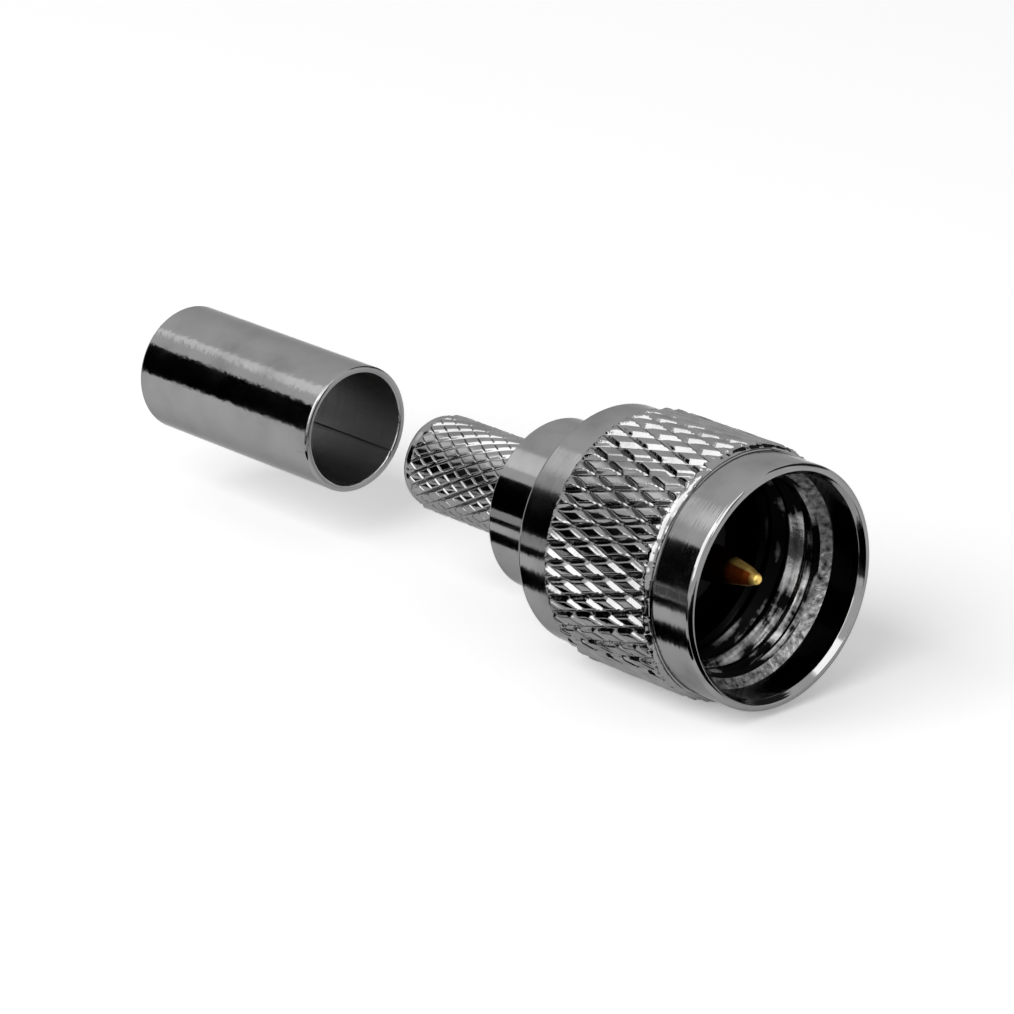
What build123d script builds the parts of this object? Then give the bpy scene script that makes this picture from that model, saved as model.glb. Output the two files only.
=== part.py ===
"""Mini-UHF crimp plug for thin coaxial cable, with its crimp ferrule set apart behind it."""
import os
from math import cos, hypot, pi, sin

from build123d import *

# The plug lies along X. X points out of the coupling nut's mouth and Z is up. The origin is on the axis, in
# the mating plane, where the front faces of the body, the insulator and the contact's shank lie.
# Sizes are in millimetres.

# Coupling nut, outside
nut_length = 10.3
nut_mouth_to_mating = 5.9
nut_band_radius = 5.3
nut_front_band = 2.2
nut_rear_band = 1.85
nut_rim_round = 0.2

# Diamond knurl on the nut
nut_knurl_radius = 5.6
nut_knurl_depth = 0.18
nut_diamond_count = 44
nut_diamond_length = 2.5

# Coupling nut, inside
mouth_radius = 4.8
mouth_depth = 1.75
thread_bore_radius = 4.25
thread_bore_length = 3.9
relief_radius = 4.8
nut_back_wall = 2.2

# Retaining ring and the grooves that it lies in
ring_inner_radius = 3.05
ring_outer_radius = 3.8
ring_thickness = 0.5
ring_gap = 0.9
ring_from_nut_rear = 1.1
ring_seat_clearance = 0.03
ring_nut_clearance = 0.1

# Plug body
sleeve_radius = 3.4
nut_running_clearance = 0.05
nut_to_collar_gap = 0.1
collar_radius = 3.8
collar_length = 3.35
edge_bevel = 0.12

# Crimp barrel of the body
barrel_length = 7.6
barrel_plain_radius = 2.06
barrel_neck_length = 0.35
barrel_end_length = 0.65
barrel_end_round = 0.25
barrel_knurl_radius = 2.2
barrel_knurl_depth = 0.11
barrel_diamond_count = 22
barrel_diamond_length = 1.1

# Bores of the body
insulator_radius = 2.6
insulator_length = 4.2
cup_bore_radius = 1.3
cable_bore_radius = 1.55
cable_bore_length = 8.9

# Centre contact
pin_radius = 0.8
pin_straight = 1.9
pin_length = 4.62
pin_taper_end_radius = 0.41
pin_nose_length = 0.62
pin_tip_radius = 0.2
pin_tip_round = 0.13
shank_radius = 1.0
stop_radius = 1.25
stop_length = 0.6
contact_behind_insulator = 2.1
cup_radius = 0.5
cup_depth = 2.4
cup_window_radius = 0.3

# Crimp ferrule
ferrule_radius = 2.92
ferrule_wall = 0.35
ferrule_length = 11.85
ferrule_edge_round = 0.08
barrel_to_ferrule = 5.33

# Places along X that follow from the sizes
nut_rear_x = nut_mouth_to_mating - nut_length
nut_knurl_front_x = nut_mouth_to_mating - nut_front_band
nut_knurl_rear_x = nut_rear_x + nut_rear_band
thread_front_x = nut_mouth_to_mating - mouth_depth
thread_rear_x = thread_front_x - thread_bore_length
back_wall_x = nut_rear_x + nut_back_wall
ring_x = nut_rear_x + ring_from_nut_rear
collar_front_x = nut_rear_x - nut_to_collar_gap
collar_rear_x = collar_front_x - collar_length
barrel_rear_x = collar_rear_x - barrel_length
cable_stop_x = barrel_rear_x + cable_bore_length
contact_rear_x = -insulator_length - contact_behind_insulator
ferrule_front_x = barrel_rear_x - barrel_to_ferrule
ferrule_rear_x = ferrule_front_x - ferrule_length


def diamond_knurl(rear_x, front_x, tip_radius, depth, starts, diamond_length):
    """A solid round bar whose skin is raised diamonds with flat tops and V grooves between them.

    The diamonds stand in rings, and each ring is turned by half a diamond from the last. Where two grooves
    cross they reach the root radius. The bar ends in the middle of its first and last rings.
    """
    rings = round(2 * (front_x - rear_x) / diamond_length)
    half_length = (front_x - rear_x) / rings
    half_angle = pi / starts
    root_radius = tip_radius - depth

    # A diamond's own axes are along X, across it and out along its radius. Groove walls fall at 45 degrees.
    half_width = root_radius * sin(half_angle)
    crossing_height = root_radius * cos(half_angle)
    wall_run = depth * hypot(half_length, half_width) / (half_length * half_width)
    top_half_length = half_length * (1 - wall_run)
    # The top's side corners lie in the planes of the walls below them, so that every wall is flat
    top_share = top_half_length / half_length
    side_drop = root_radius - crossing_height
    top_half_width = half_width * top_share / (1 + (1 - top_share) * side_drop / depth)

    def placed(ring, turn, along, across, height):
        angle = turn * half_angle
        return (
            rear_x + ring * half_length + along,
            across * cos(angle) - height * sin(angle),
            across * sin(angle) + height * cos(angle),
        )

    def flat(*corners):
        return Face(Wire.make_polygon(corners))

    skin = []
    ends = {0: [], rings: []}
    for ring in range(rings + 1):
        for turn in range(ring % 2, 2 * starts, 2):
            sides = [side for side in (-1, 1) if 0 <= ring + side <= rings]
            left_top = placed(ring, turn, 0, -top_half_width, tip_radius)
            right_top = placed(ring, turn, 0, top_half_width, tip_radius)
            left_root = placed(ring, turn, 0, -half_width, crossing_height)
            right_root = placed(ring, turn, 0, half_width, crossing_height)
            tops = [placed(ring, turn, side * top_half_length, 0, tip_radius) for side in sides]
            roots = [placed(ring, turn, side * half_length, 0, root_radius) for side in sides]
            skin.append(flat(left_top, tops[0], right_top, *tops[1:]))
            for top, root in zip(tops, roots):
                skin.append(flat(left_root, left_top, top, root))
                skin.append(flat(right_root, right_top, top, root))
            if ring in ends:
                ends[ring] += [right_root, right_top, left_top]
    skin += [flat(*corners) for corners in ends.values()]
    return Solid(Shell(skin))


# Coupling nut: a turned blank, knurled between its two smooth bands, then bored from both ends
nut_bore_radius = sleeve_radius + nut_running_clearance
nut_groove_radius = ring_outer_radius + ring_nut_clearance
nut_groove_half = ring_thickness / 2 + ring_nut_clearance
thread_lead = mouth_radius - thread_bore_radius
relief_lead = relief_radius - thread_bore_radius
nut_knurl = diamond_knurl(
    nut_knurl_rear_x,
    nut_knurl_front_x,
    nut_knurl_radius,
    nut_knurl_depth,
    nut_diamond_count,
    nut_diamond_length,
)

with BuildPart() as coupling_nut:
    with BuildSketch(Plane.YZ.offset(nut_rear_x)):
        Circle(nut_band_radius)
    extrude(amount=nut_length)
    fillet(coupling_nut.edges().filter_by(GeomType.CIRCLE), nut_rim_round)
    add(nut_knurl)
    with BuildSketch(Plane.XZ):
        with BuildLine():
            Polyline(
                (nut_mouth_to_mating, 0),
                (nut_mouth_to_mating, mouth_radius),
                (thread_front_x, mouth_radius),
                (thread_front_x - thread_lead, thread_bore_radius),
                (thread_rear_x, thread_bore_radius),
                (thread_rear_x - relief_lead, relief_radius),
                (back_wall_x, relief_radius),
                (back_wall_x, nut_bore_radius),
                (ring_x + nut_groove_half, nut_bore_radius),
                (ring_x + nut_groove_half, nut_groove_radius),
                (ring_x - nut_groove_half, nut_groove_radius),
                (ring_x - nut_groove_half, nut_bore_radius),
                (nut_rear_x, nut_bore_radius),
                (nut_rear_x, 0),
                close=True,
            )
        make_face()
    revolve(axis=Axis.X, mode=Mode.SUBTRACT)

# Plug body: one turned piece from the mating sleeve to the end of the knurled crimp barrel
body_groove_half = ring_thickness / 2 + ring_seat_clearance
body_groove_radius = ring_inner_radius - ring_seat_clearance
barrel_knurl = diamond_knurl(
    barrel_rear_x + barrel_end_length,
    collar_rear_x - barrel_neck_length,
    barrel_knurl_radius,
    barrel_knurl_depth,
    barrel_diamond_count,
    barrel_diamond_length,
)

with BuildPart() as plug_body:
    with BuildSketch(Plane.XZ):
        with BuildLine():
            Polyline(
                (0, 0),
                (0, sleeve_radius - edge_bevel),
                (-edge_bevel, sleeve_radius),
                (ring_x + body_groove_half, sleeve_radius),
                (ring_x + body_groove_half, body_groove_radius),
                (ring_x - body_groove_half, body_groove_radius),
                (ring_x - body_groove_half, sleeve_radius),
                (collar_front_x, sleeve_radius),
                (collar_front_x, collar_radius - edge_bevel),
                (collar_front_x - edge_bevel, collar_radius),
                (collar_rear_x + edge_bevel, collar_radius),
                (collar_rear_x, collar_radius - edge_bevel),
                (collar_rear_x, barrel_plain_radius),
                (barrel_rear_x, barrel_plain_radius),
                (barrel_rear_x, 0),
                close=True,
            )
        make_face()
    revolve(axis=Axis.X)
    fillet(plug_body.edges().filter_by(GeomType.CIRCLE).sort_by(Axis.X)[0], barrel_end_round)
    add(barrel_knurl)
    with BuildSketch(Plane.XZ):
        with BuildLine():
            Polyline(
                (0, 0),
                (0, insulator_radius),
                (-insulator_length, insulator_radius),
                (-insulator_length, cup_bore_radius),
                (cable_stop_x, cup_bore_radius),
                (cable_stop_x, cable_bore_radius),
                (barrel_rear_x, cable_bore_radius),
                (barrel_rear_x, 0),
                close=True,
            )
        make_face()
    revolve(axis=Axis.X, mode=Mode.SUBTRACT)

# Insulator: a plain moulded sleeve that fills the body's front bore and holds the contact by its stop
stop_front_x = -insulator_length + stop_length

with BuildPart() as insulator:
    with BuildSketch(Plane.XZ):
        with BuildLine():
            Polyline(
                (0, shank_radius),
                (0, insulator_radius),
                (-insulator_length, insulator_radius),
                (-insulator_length, stop_radius),
                (stop_front_x, stop_radius),
                (stop_front_x, shank_radius),
                close=True,
            )
        make_face()
    revolve(axis=Axis.X)

# Centre contact: a tapered pin in front, a stop in the insulator's rear and a cup for the conductor
with BuildPart() as centre_contact:
    with BuildSketch(Plane.XZ):
        with BuildLine():
            Polyline(
                (pin_length, 0),
                (contact_rear_x, 0),
                (contact_rear_x, shank_radius),
                (-insulator_length, shank_radius),
                (-insulator_length, stop_radius),
                (stop_front_x, stop_radius),
                (stop_front_x, shank_radius),
                (0, shank_radius),
                (0, pin_radius),
                (pin_straight, pin_radius),
                (pin_length - pin_nose_length, pin_taper_end_radius),
                (pin_length, pin_tip_radius),
                close=True,
            )
        make_face()
    revolve(axis=Axis.X)
    fillet(centre_contact.edges().filter_by(GeomType.CIRCLE).sort_by(Axis.X)[-1], pin_tip_round)
    with BuildSketch(Plane.YZ.offset(contact_rear_x)):
        Circle(cup_radius)
    extrude(amount=cup_depth, mode=Mode.SUBTRACT)
    with BuildSketch(Plane.XY):
        with Locations((contact_rear_x + cup_depth / 2, 0)):
            Circle(cup_window_radius)
    extrude(amount=shank_radius, mode=Mode.SUBTRACT)

# Retaining ring: a split ring of square wire, open at the top
with BuildPart() as retaining_ring:
    with BuildSketch(Plane.YZ.offset(ring_x - ring_thickness / 2)):
        Circle(ring_outer_radius)
        Circle(ring_inner_radius, mode=Mode.SUBTRACT)
        Rectangle(ring_gap, 2 * ring_outer_radius, align=(Align.CENTER, Align.MIN), mode=Mode.SUBTRACT)
    extrude(amount=ring_thickness)

# Crimp ferrule: a thin tube that waits behind the barrel
with BuildPart() as crimp_ferrule:
    with BuildSketch(Plane.YZ.offset(ferrule_rear_x)):
        Circle(ferrule_radius)
        Circle(ferrule_radius - ferrule_wall, mode=Mode.SUBTRACT)
    extrude(amount=ferrule_length)
    fillet(crimp_ferrule.edges().filter_by(GeomType.CIRCLE), ferrule_edge_round)

coupling_nut.part.label = "coupling_nut"
plug_body.part.label = "plug_body"
insulator.part.label = "insulator"
centre_contact.part.label = "centre_contact"
retaining_ring.part.label = "retaining_ring"
crimp_ferrule.part.label = "crimp_ferrule"

os.makedirs("parts", exist_ok=True)
export_step(coupling_nut.part, "parts/coupling_nut.step")
export_step(plug_body.part, "parts/plug_body.step")
export_step(insulator.part, "parts/insulator.step")
export_step(centre_contact.part, "parts/centre_contact.step")
export_step(retaining_ring.part, "parts/retaining_ring.step")
export_step(crimp_ferrule.part, "parts/crimp_ferrule.step")
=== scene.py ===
"""Dresses a crimp plug and its loose ferrule, and sets up a plain white studio around them."""
import math
from itertools import product
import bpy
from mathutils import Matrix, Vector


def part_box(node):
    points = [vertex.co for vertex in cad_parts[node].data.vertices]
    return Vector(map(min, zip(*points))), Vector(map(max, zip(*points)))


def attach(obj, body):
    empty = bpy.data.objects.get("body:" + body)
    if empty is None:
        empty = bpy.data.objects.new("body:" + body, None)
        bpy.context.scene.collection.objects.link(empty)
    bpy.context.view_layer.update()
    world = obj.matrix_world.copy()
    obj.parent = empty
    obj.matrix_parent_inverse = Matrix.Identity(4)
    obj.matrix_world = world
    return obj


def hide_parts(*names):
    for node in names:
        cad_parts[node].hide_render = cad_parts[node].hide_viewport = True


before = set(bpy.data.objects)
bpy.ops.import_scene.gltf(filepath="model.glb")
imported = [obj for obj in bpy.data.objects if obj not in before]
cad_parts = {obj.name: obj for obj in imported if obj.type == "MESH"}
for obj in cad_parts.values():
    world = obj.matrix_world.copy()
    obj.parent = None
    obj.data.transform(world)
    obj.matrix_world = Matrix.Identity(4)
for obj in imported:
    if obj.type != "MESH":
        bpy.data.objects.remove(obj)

from types import SimpleNamespace

import bmesh
import bpy
from bpy.props import FloatProperty, FloatVectorProperty, IntProperty, PointerProperty
from mathutils import Vector, noise

bl_info = {
    "name": "Crimp Plug Dresser",
    "version": (1, 0, 0),
    "blender": (4, 5, 0),
    "location": "3D View > Sidebar > Crimp Plug",
    "description": "Builds the visible pieces of a crimp plug and its stage on the packed model",
    "category": "Object",
}

MM = 0.001

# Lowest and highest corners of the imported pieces, in millimetres
nut_low, nut_high = [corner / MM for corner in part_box("coupling_nut")]
body_low, body_high = [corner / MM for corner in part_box("plug_body")]
contact_low, contact_high = [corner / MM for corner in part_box("centre_contact")]
ferrule_low, ferrule_high = [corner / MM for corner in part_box("crimp_ferrule")]


def maker(kind=FloatProperty, scale=1, **options):
    """A function that makes a property from its name, its description and its default."""

    def make(name, description, default):
        return kind(name=name, description=description, default=default * scale, **options)

    return make


# Defaults of lengths and places along the axis are given in millimetres, and turns in degrees
place = maker(scale=MM, unit="LENGTH", precision=5)
length = maker(scale=MM, unit="LENGTH", precision=5, min=0)
turn = maker(scale=math.radians(1), subtype="ANGLE")
factor = maker(min=0)
count = maker(IntProperty, min=3)
colour = maker(FloatVectorProperty, subtype="COLOR", size=3, min=0, max=1)
power = maker(unit="POWER")
focus = maker(unit="CAMERA")


class NutSettings(bpy.types.PropertyGroup):
    front: place("Front", "Place of the lip's front face", nut_high.x)
    rear: place("Rear", "Place of the rear face", nut_low.x)
    tip_radius: length("Knurl radius", "Radius over the knurl's diamonds", nut_high.z)
    band_radius: length("Band radius", "Radius of the smooth bands at both ends", 5.3)
    front_band: length("Front band", "Length of the smooth band behind the lip", 2.2)
    rear_band: length("Rear band", "Length of the smooth band at the rear", 1.85)
    lip_round: length("Lip round", "Radius of the lip's outer edge", 0.21)
    lip_bevel: length("Lip bevel", "Width of the bevel inside the lip", 0.2)
    bevel_steepness: factor("Bevel steepness", "Depth of the bevel in its widths", 1.25)
    rim_round: length("Rim round", "Radius of the rear rim's edge", 0.2)
    knurl_depth: length("Knurl depth", "Depth of the knurl's grooves", 0.19)
    knurl_share: factor("Shallow share", "Depth of one family of grooves against the other", 0.86)
    knurl_roughness: length("Knurl roughness", "How uneven the diamonds are", 0.02)
    knurl_starts: count("Knurl starts", "Diamonds in one ring", 44)
    diamond_length: length("Diamond length", "Length of one diamond along the axis", 2.5)
    knurl_turn: turn("Knurl turn", "Turn of the knurl about the axis", -2.3)
    burr_length: length("Burr length", "Length left for the burr in front of the knurl", 0.16)
    mouth_radius: length("Mouth radius", "Radius of the smooth mouth", 4.8)
    mouth_depth: length("Mouth depth", "Depth of the smooth mouth", 1.75)
    crest_radius: length("Thread crest", "Radius inside the thread's crests", 4.25)
    root_radius: length("Thread root", "Radius at the thread's roots", 4.74)
    thread_pitch: length("Thread pitch", "Distance between two turns of the thread", 25.4 / 24)
    thread_turn: turn("Thread turn", "Turn of the thread about the axis", 0)
    thread_length: length("Thread length", "Length of the thread with its leads", 4.45)
    back_wall: length("Back wall", "Thickness of the wall behind the thread", 2.2)
    bore_radius: length("Rear bore", "Radius of the bore that turns on the body", 3.45)
    groove_radius: length("Ring groove", "Radius of the groove for the retaining ring", 3.9)
    groove_front: place("Ring groove front", "Front side of the ring's groove", -2.95)
    groove_rear: place("Ring groove rear", "Rear side of the ring's groove", -3.65)


class BodySettings(bpy.types.PropertyGroup):
    front: place("Front", "Place of the mating face", body_high.x)
    rear: place("Rear", "Place of the barrel's end", body_low.x)
    collar_radius: length("Collar radius", "Radius of the smooth collar", body_high.z)
    collar_front: place("Collar front", "Front face of the collar", -4.5)
    collar_rear: place("Collar rear", "Rear face of the collar", -7.85)
    collar_bevel: length("Collar bevel", "Radius of the collar's edges", 0.12)
    sleeve_radius: length("Sleeve radius", "Radius of the sleeve inside the nut", 3.4)
    groove_radius: length("Ring groove", "Radius at the bottom of the ring's groove", 3.02)
    groove_front: place("Ring groove front", "Front side of the ring's groove", -3.02)
    groove_rear: place("Ring groove rear", "Rear side of the ring's groove", -3.58)
    barrel_radius: length("Barrel radius", "Radius of the barrel's plain ends", 2.06)
    tip_radius: length("Knurl radius", "Radius over the barrel's diamonds", 2.2)
    knurl_depth: length("Knurl depth", "Depth of the barrel's grooves", 0.11)
    knurl_share: factor("Shallow share", "Depth of one family of grooves against the other", 0.5)
    knurl_roughness: length("Knurl roughness", "How uneven the diamonds are", 0.03)
    knurl_starts: count("Knurl starts", "Diamonds in one ring", 22)
    diamond_length: length("Diamond length", "Length of one diamond along the axis", 1.1)
    knurl_turn: turn("Knurl turn", "Turn of the knurl about the axis", 0)
    neck_length: length("Neck", "Plain neck between the collar and the knurl", 0.35)
    end_length: length("Plain end", "Plain end behind the knurl", 0.65)
    end_round: length("End round", "Radius of the barrel's rounded end", 0.4)
    insulator_radius: length("Insulator bore", "Radius of the bore for the insulator", 2.6)
    insulator_length: length("Insulator depth", "Depth of the bore for the insulator", 4.2)
    cup_bore_radius: length("Cup bore", "Radius of the bore around the contact's cup", 1.3)
    cable_bore_radius: length("Cable bore", "Radius of the bore for the cable", 1.55)
    cable_bore_length: length("Cable bore depth", "Depth of the bore for the cable", 8.9)


class ContactSettings(bpy.types.PropertyGroup):
    tip: place("Tip", "Place of the pin's tip", contact_high.x)
    rear: place("Rear", "Place of the cup's open end", contact_low.x)
    stop_radius: length("Stop radius", "Radius of the stop in the insulator", contact_high.z)
    stop_front: place("Stop front", "Front face of the stop", -3.6)
    stop_rear: place("Stop rear", "Rear face of the stop", -4.2)
    shank_radius: length("Shank radius", "Radius of the shank and the cup", 1.0)
    pin_radius: length("Pin radius", "Radius of the pin's straight root", 0.8)
    pin_straight: length("Pin root", "Length of the pin's straight root", 1.9)
    nose_radius: length("Nose radius", "Radius where the nose begins", 0.41)
    nose_length: length("Nose length", "Length of the pointed nose", 0.62)
    tip_radius: length("Tip radius", "Radius of the nose's blunt tip", 0.2)
    tip_round: length("Tip round", "Radius of the tip's rounded edge", 0.19)
    nose_round: length("Nose round", "Radius where the nose meets the taper", 0.3)
    root_round: length("Root round", "Radius where the taper meets the root", 0.6)
    cup_radius: length("Cup radius", "Radius inside the conductor's cup", 0.5)
    cup_depth: length("Cup depth", "Depth of the conductor's cup", 2.4)


class FerruleSettings(bpy.types.PropertyGroup):
    front: place("Front", "Place of the front end", ferrule_high.x)
    rear: place("Rear", "Place of the rear end", ferrule_low.x)
    outer_radius: length("Outer radius", "Radius of the tube", ferrule_high.z)
    wall: length("Wall", "Thickness of the tube's wall", 0.35)
    edge_round: length("Edge round", "Radius of the rims' edges", 0.13)
    seam_turn: turn("Seam", "Where the draw line runs inside the tube", 128)
    seam_width: length("Seam width", "Width of the draw line", 0.1)
    seam_depth: length("Seam depth", "Depth of the draw line", 0.07)


class FinishSettings(bpy.types.PropertyGroup):
    nickel: colour("Nickel", "Clean nickel plate", (0.31, 0.31, 0.31))
    tarnish: colour("Tarnish", "Duller nickel in patches", (0.2, 0.2, 0.2))
    # Painted shade: the near-black plate in the bores, which is also the colour of the chamfer's
    # dark specks.
    shade_and_speck_black: colour("Dark bore", "Dark plate inside the bores", (0.003, 0.003, 0.003))
    # Painted reflection: the lighter streaks in the bores.
    bore_reflection_grey: colour("Light bore", "Lighter streaks inside the bores", (0.4, 0.4, 0.4))
    tube_dark: colour("Dark tube", "Duller plate inside the ferrule", (0.22, 0.22, 0.22))
    tube_light: colour("Light tube", "Clean plate inside the ferrule", (0.42, 0.42, 0.42))
    gold: colour("Gold", "Gold plate on the contact", (0.93, 0.66, 0.19))
    # Painted reflection: a brown that the pin's sides take behind the nose.
    brown: colour("Brown", "Brown stain on the sides of the pin", (0.24, 0.05, 0.008))
    # Painted shade: a near black for the pin's root.
    root_shade: colour("Soot", "Dark root of the pin", (0.02, 0.006, 0.001))
    # Painted shade: between these places the bores' painted reflections fade out deeper in.
    streaks_dark: place("Streaks' end", "Where the bores' streaks have faded", 0.2)
    streaks_light: place("Streaks' start", "Where the bores' streaks are full", 2.2)
    # Where the painted reflection on the pin's sides begins and where it is full.
    reflection_front: place("Stain front", "Where the sides begin to brown", 4.45)
    reflection_rear: place("Stain rear", "Where the sides are brown", 4.25)
    # Where the painted shade on the pin's root begins and where it is darkest.
    root_shade_front: place("Soot front", "Where the pin begins to blacken", 3.4)
    root_shade_rear: place("Soot rear", "Where the root is darkest", 3.05)
    bronze: colour("Bronze", "Spring bronze of the retaining ring", (0.45, 0.33, 0.16))
    plastic: colour("Plastic", "Black moulded plastic", (0.008, 0.008, 0.008))


class StageSettings(bpy.types.PropertyGroup):
    camera_place: FloatVectorProperty(
        name="Camera place",
        description="Where the camera stands",
        default=(139.4 * MM, -137.05 * MM, 73.95 * MM),
        subtype="TRANSLATION",
        size=3,
    )
    heading: turn("Heading", "Direction of view about the upright axis", 137.62)
    tilt: turn("Tilt", "Direction of view below the horizon", 20.23)
    lens: focus("Lens", "Focal length on a 36 mm sensor", 177.5)
    floor_size: length("Floor size", "Half the side of the floor", 3000)
    floor_colour: colour("Floor", "White paper of the floor", (0.9, 0.9, 0.9))
    floor_glow: factor("Floor glow", "Light of the floor that is seen and lights nothing", 0.28)
    sky: factor("Sky", "Strength of the soft light from all around", 0.42)
    key_power: power("Key light", "Power of the soft box", 3.2)
    key_width: length("Key width", "Width of the soft box", 640)
    key_height: length("Key height", "Height of the soft box", 420)
    key_distance: length("Key distance", "Distance of the soft box", 600)
    key_bearing: turn("Key bearing", "Direction of the soft box around the plug", 270)
    key_rise: turn("Key rise", "Direction of the soft box above the floor", 39)


def in_millimetres(settings):
    """The values of a settings group, with its lengths in millimetres."""
    values = {}
    for prop in settings.bl_rna.properties:
        if prop.identifier in ("rna_type", "name"):
            continue
        value = getattr(settings, prop.identifier)
        values[prop.identifier] = value / MM if getattr(prop, "unit", "") == "LENGTH" else value
    return SimpleNamespace(**values)


# Mesh making. Meshes are made in millimetres, and finished_piece brings them to metres.


def ring_point(x, radius, angle):
    """A point at a place along the axis, a radius, and an angle from +Z towards +Y."""
    return Vector((x, radius * math.sin(angle), radius * math.cos(angle)))


# Steps of a rounding, and distance in millimetres of the extra points on both sides of it
ROUND_STEPS = 5
SUPPORT = 0.012


def rounded_outline(*corners):
    """Points of an open outline. Its corners are (x, radius), or (x, radius, rounding).

    A point just outside each rounding keeps the flats beside it from being shaded as round.
    """
    points = [Vector(corners[0][:2])]
    for before, here, after in zip(corners, corners[1:], corners[2:]):
        corner = Vector(here[:2])
        if len(here) < 3:
            points.append(corner)
            continue
        rounding = here[2]
        back = (Vector(before[:2]) - corner).normalized()
        ahead = (Vector(after[:2]) - corner).normalized()
        half = back.angle(ahead) / 2
        centre = corner + (back + ahead).normalized() * rounding / math.sin(half)
        first = corner + back * rounding / math.tan(half) - centre
        last = corner + ahead * rounding / math.tan(half) - centre
        points.append(centre + first + back * SUPPORT)
        for step in range(ROUND_STEPS + 1):
            spoke = first.slerp(last, step / ROUND_STEPS).normalized()
            points.append(centre + spoke * rounding)
        points.append(centre + last + ahead * SUPPORT)
    points.append(Vector(corners[-1][:2]))
    return points


def lathe(bm, outline, sides):
    """Turns an outline about the X axis. A point on the axis becomes a single vertex."""
    angles = [math.tau * side / sides for side in range(sides)]
    rings = []
    for x, radius in outline:
        around = angles if radius > 1e-6 else angles[:1]
        rings.append([bm.verts.new(ring_point(x, radius, angle)) for angle in around])
    for ring, following in zip(rings, rings[1:]):
        for side in range(sides):
            after = (side + 1) % sides
            corners = [ring[side % len(ring)], ring[after % len(ring)]]
            corners += [following[after % len(following)], following[side % len(following)]]
            distinct = list(dict.fromkeys(corners))
            if len(distinct) > 2:
                bm.faces.new(distinct)
    return rings


def turn_shape(bm, sides, *corners):
    """Turns an outline about the X axis. Gives its rings of vertices."""
    return lathe(bm, rounded_outline(*corners), sides)


def living(items, kind):
    """The items of one kind that the last step has left in the mesh."""
    return [item for item in items if isinstance(item, kind) and item.is_valid]


# A groove's section: distance from its middle in groove depths, and its share of the full depth
GROOVE_SECTION = ((0, 0.98), (0.14, 0.88), (0.55, 0.48), (0.95, 0.11), (1.12, 0.04), (1.4, 0.015))
# How sharply the two families of grooves meet where they cross
CROSSING = 6
# Grain of the diamonds: waves per millimetre, broad and fine, and the weight of the fine ones
BROAD_GRAIN = 3.1
FINE_GRAIN = 7.3
FINE_WEIGHT = 0.6
# How much the diamonds are lowered, are uneven, and are ragged at the ends, in roughnesses
LOWERED = 0.35
UNEVEN = 0.5
RAGGED = 3
# The knurl's ends: how steeply they rise from the shoulder, and waves per millimetre of their edge
END_SLOPE = 1.2
END_GRAIN = 5.7


def knurl_sheet(bm, sizes, rear, front, shoulder, burr, seed):
    """A skin of raised diamonds between two planes. Its grid follows the grooves' edges.

    sizes holds the knurl's values. shoulder is the radius to which both ends slope down, burr the
    length left for the burr in front. Returns the edges of the front and rear ends.
    """
    tip, depth = sizes.tip_radius, sizes.knurl_depth
    starts, diamond = sizes.knurl_starts, sizes.diamond_length
    roughness = sizes.knurl_roughness
    width = math.tau * tip / starts
    pitch = diamond * width / math.hypot(diamond, width)
    families = []
    for cut_depth in (sizes.knurl_share * depth, depth):
        half_line = [(away * cut_depth / pitch, cut * cut_depth) for away, cut in GROOVE_SECTION]
        half_line.append((0.5, 0))
        before = [(away - 0.5, cut) for away, cut in half_line]
        families.append(before + [(0.5 - away, cut) for away, cut in half_line[-2::-1]])
    steps = len(families[0]) - 1
    rings = round(2 * (front - rear) / diamond)
    made = {}

    def vertex(column, row):
        if column + row >= 2 * starts * steps:
            column -= starts * steps
            row -= starts * steps
        if (column, row) not in made:
            share_u, cut_u = families[0][column % steps]
            share_v, cut_v = families[1][row % steps]
            u = column // steps + share_u
            v = row // steps + share_v
            x = rear + diamond * (u - v) / 2
            angle = math.pi * (u + v) / starts + sizes.knurl_turn
            cut = (cut_u**CROSSING + cut_v**CROSSING) ** (1 / CROSSING)
            radius = tip - min(cut, depth)
            spot = ring_point(x, radius, angle) + Vector((seed, 0, 0))
            grain = noise.noise(spot * BROAD_GRAIN) + FINE_WEIGHT * noise.noise(spot * FINE_GRAIN)
            ragged = RAGGED * roughness * abs(noise.noise(spot * END_GRAIN))
            slope = shoulder + END_SLOPE * min(x - rear, front - burr - x) + ragged
            radius = min(radius - roughness * (LOWERED - UNEVEN * grain), slope, tip)
            made[column, row] = bm.verts.new(ring_point(x, max(radius, shoulder), angle))
        return made[column, row]

    first_face = len(bm.faces)
    cells = product(range(rings + 1), range(starts), range(steps), range(steps))
    for ring, start, step_u, step_v in cells:
        column = (start + (ring + 1) // 2) * steps + step_u
        row = (start - ring // 2) * steps + step_v
        around = ((0, 0), (1, 0), (1, 1), (0, 1))
        bm.faces.new([vertex(column + over, row + up) for over, up in around])
    bm.faces.ensure_lookup_table()
    sheet = bm.faces[first_face:]
    ends = []
    for end, outward in ((front, 1), (rear, -1)):
        geometry = set(sheet)
        for face in sheet:
            geometry.update(face.verts, face.edges)
        plane = {"plane_co": (end, 0, 0), "plane_no": (outward, 0, 0)}
        cut = bmesh.ops.bisect_plane(
            bm, geom=list(geometry), dist=1e-5, clear_outer=True, **plane
        )
        sheet = living(cut["geom"], bmesh.types.BMFace)
        ends.append(living(cut["geom_cut"], bmesh.types.BMEdge))
    return ends


# The burr's section in front of the knurl: distance behind the knurl's end, height over the band
BURR_SECTION = (
    (-0.03, -0.04), (-0.01, 0.03), (0.07, 0.12), (0.17, 0.2), (0.25, 0.22), (0.33, 0.18),
    (0.4, 0.0),
)
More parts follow.
